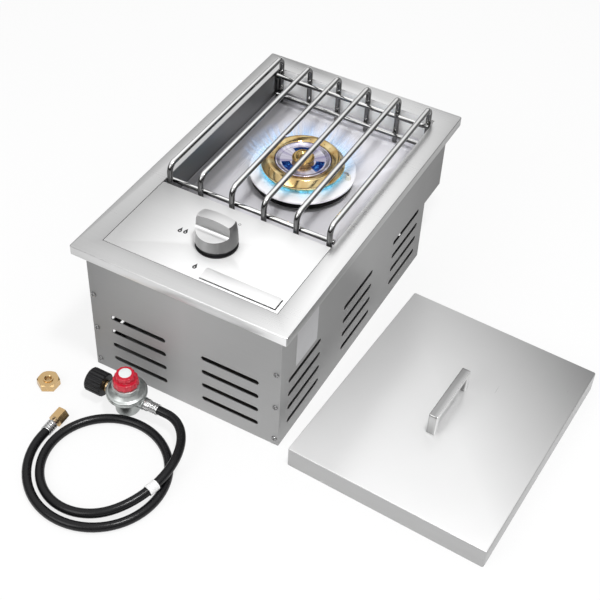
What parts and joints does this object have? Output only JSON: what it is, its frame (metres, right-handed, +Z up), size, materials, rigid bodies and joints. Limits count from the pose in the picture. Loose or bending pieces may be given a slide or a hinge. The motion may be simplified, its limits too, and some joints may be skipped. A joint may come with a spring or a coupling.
{
  "type": "built-in side burner",
  "caption": "Drop-in gas side burner for an outdoor kitchen: flanged vented housing, rod grate, round brass burner, control knob, lift-off lid and regulator hose.",
  "frame": {"origin": "on the underside of the housing, under the middle of the top frame", "axes": "+X right along the front, +Y to the rear, +Z up"},
  "size_m": [0.6668, 0.7598, 0.273],
  "materials": {
    "stainless_frame": "brushed along its length, crisp folded edge",
    "stainless_housing": "plain brushed sheet",
    "stainless_panel": "fine brushed sheet",
    "stainless_inner": "plain mill finish sheet",
    "stainless_tray": "bright smooth sheet",
    "grate_steel": "polished round rod",
    "screw_steel": "bright pan heads",
    "burner_iron": "black enamelled casting",
    "disc_steel": "bright pressed disc",
    "ring_brass": "turned golden brass",
    "cup_steel": "bright pressed dish",
    "cap_brass": "turned brass",
    "igniter_porcelain": "glazed white porcelain",
    "igniter_metal": "bare wire",
    "valve_brass": "machined brass",
    "spring_steel": "bright spring wire",
    "shutter_zinc": "plated sheet",
    "knob_zinc": "satin plated casting with brushed sides",
    "bezel_plastic": "black moulding",
    "lid_steel": "brushed sheet with folded edges",
    "handle_chrome": "polished strap",
    "regulator_zinc": "die casting",
    "dial_red": "red moulding with a white disc",
    "fitting_brass": "machined brass",
    "wheel_black": "ribbed black moulding",
    "hose_rubber": "smooth slightly glossy rubber",
    "ferrule_zinc": "crimped plated sleeve",
    "band_white": "plain white band"
  },
  "bodies": {
    "housing": {"top_frame": "stainless_frame", "front_panel": "stainless_housing", "right_panel": "stainless_housing", "left_panel": "stainless_housing", "rear_upper_panel": "stainless_housing", "rear_lower_panel": "stainless_housing", "bottom_pan": "stainless_housing", "panel_screw_1": "screw_steel", "panel_screw_2": "screw_steel", "panel_screw_3": "screw_steel", "panel_screw_4": "screw_steel", "panel_screw_5": "screw_steel", "panel_screw_6": "screw_steel", "control_panel": "stainless_panel", "heat_shield": "stainless_inner", "well_liner": "stainless_inner", "drip_tray": "stainless_tray", "burner_base": "burner_iron", "burner_disc": "disc_steel", "igniter_ceramic": "igniter_porcelain", "igniter_wire": "igniter_metal", "burner_bracket": "stainless_inner", "mixing_tube": "stainless_inner", "valve_hat": "stainless_inner", "valve_body": "valve_brass", "gas_jet": "valve_brass", "stem_spring": "spring_steel", "knob_bezel": "bezel_plastic", "gas_pipe": "valve_brass", "inlet_fitting": "valve_brass", "regulator_body": "regulator_zinc", "regulator_bonnet": "regulator_zinc", "tank_nipple": "fitting_brass", "gas_hose": "hose_rubber", "outlet_ferrule": "ferrule_zinc", "hose_band": "band_white", "swivel_ferrule": "ferrule_zinc", "adaptor_nut": "fitting_brass"},
    "stem_washer": {"spring_washer": "spring_steel"},
    "knob": {"control_knob": "knob_zinc", "valve_stem": "valve_brass"},
    "burner_head": {"flame_ring": "ring_brass", "inner_cup": "cup_steel", "centre_cap": "cap_brass"},
    "grate": {"grate_rod_1": "grate_steel", "grate_rod_2": "grate_steel", "grate_rod_3": "grate_steel", "grate_rod_4": "grate_steel", "grate_rod_5": "grate_steel", "grate_rod_6": "grate_steel", "grate_front_upper_bar": "grate_steel", "grate_rear_upper_bar": "grate_steel", "grate_front_lower_bar": "grate_steel", "grate_rear_lower_bar": "grate_steel"},
    "lid": {"lid_shell": "lid_steel", "lid_handle": "handle_chrome"},
    "air_shutter": {"air_shutter": "shutter_zinc"},
    "regulator_dial": {"regulator_dial": "dial_red"},
    "hand_wheel": {"hand_wheel": "wheel_black"},
    "swivel_nut": {"swivel_nut": "fitting_brass"}
  },
  "joints": [
    {"name": "knob_push", "type": "slide", "parent": "housing", "child": "stem_washer", "axis": [0, 0, -1], "range_m": [0, 0.0035], "stiffness_N_per_m": 2500, "springref_m": -0.002, "deforming": ["stem_spring"]},
    {"name": "knob_turn", "type": "hinge", "parent": "stem_washer", "child": "knob", "pos_m": [0, -0.161, 0.24], "axis": [0, 0, 1], "range_deg": [-90, 90]},
    {"name": "burner_head_lift", "type": "slide", "parent": "housing", "child": "burner_head", "axis": [0, 0, 1], "range_m": [0, 0.028]},
    {"name": "grate_lift", "type": "slide", "parent": "housing", "child": "grate", "axis": [0, 0, 1], "range_m": [0, 0.15]},
    {"name": "lid_lift", "type": "slide", "parent": "housing", "child": "lid", "axis": [0, 0, 1], "range_m": [0, 0.25]},
    {"name": "shutter_turn", "type": "hinge", "parent": "housing", "child": "air_shutter", "pos_m": [0, -0.12, 0.15], "axis": [0, 1, 0], "range_deg": [0, 45]},
    {"name": "dial_turn", "type": "hinge", "parent": "housing", "child": "regulator_dial", "pos_m": [-0.0611, -0.295, 0.06], "axis": [0, 0, 1], "range_deg": [0, 270]},
    {"name": "hand_wheel_spin", "type": "hinge", "parent": "housing", "child": "hand_wheel", "pos_m": [-0.106, -0.295, 0.027], "axis": [1, 0, 0], "continuous": true},
    {"name": "swivel_nut_spin", "type": "hinge", "parent": "housing", "child": "swivel_nut", "pos_m": [-0.12687, -0.3605, 0.00909], "axis": [0, 1, 0], "continuous": true}
  ]
}
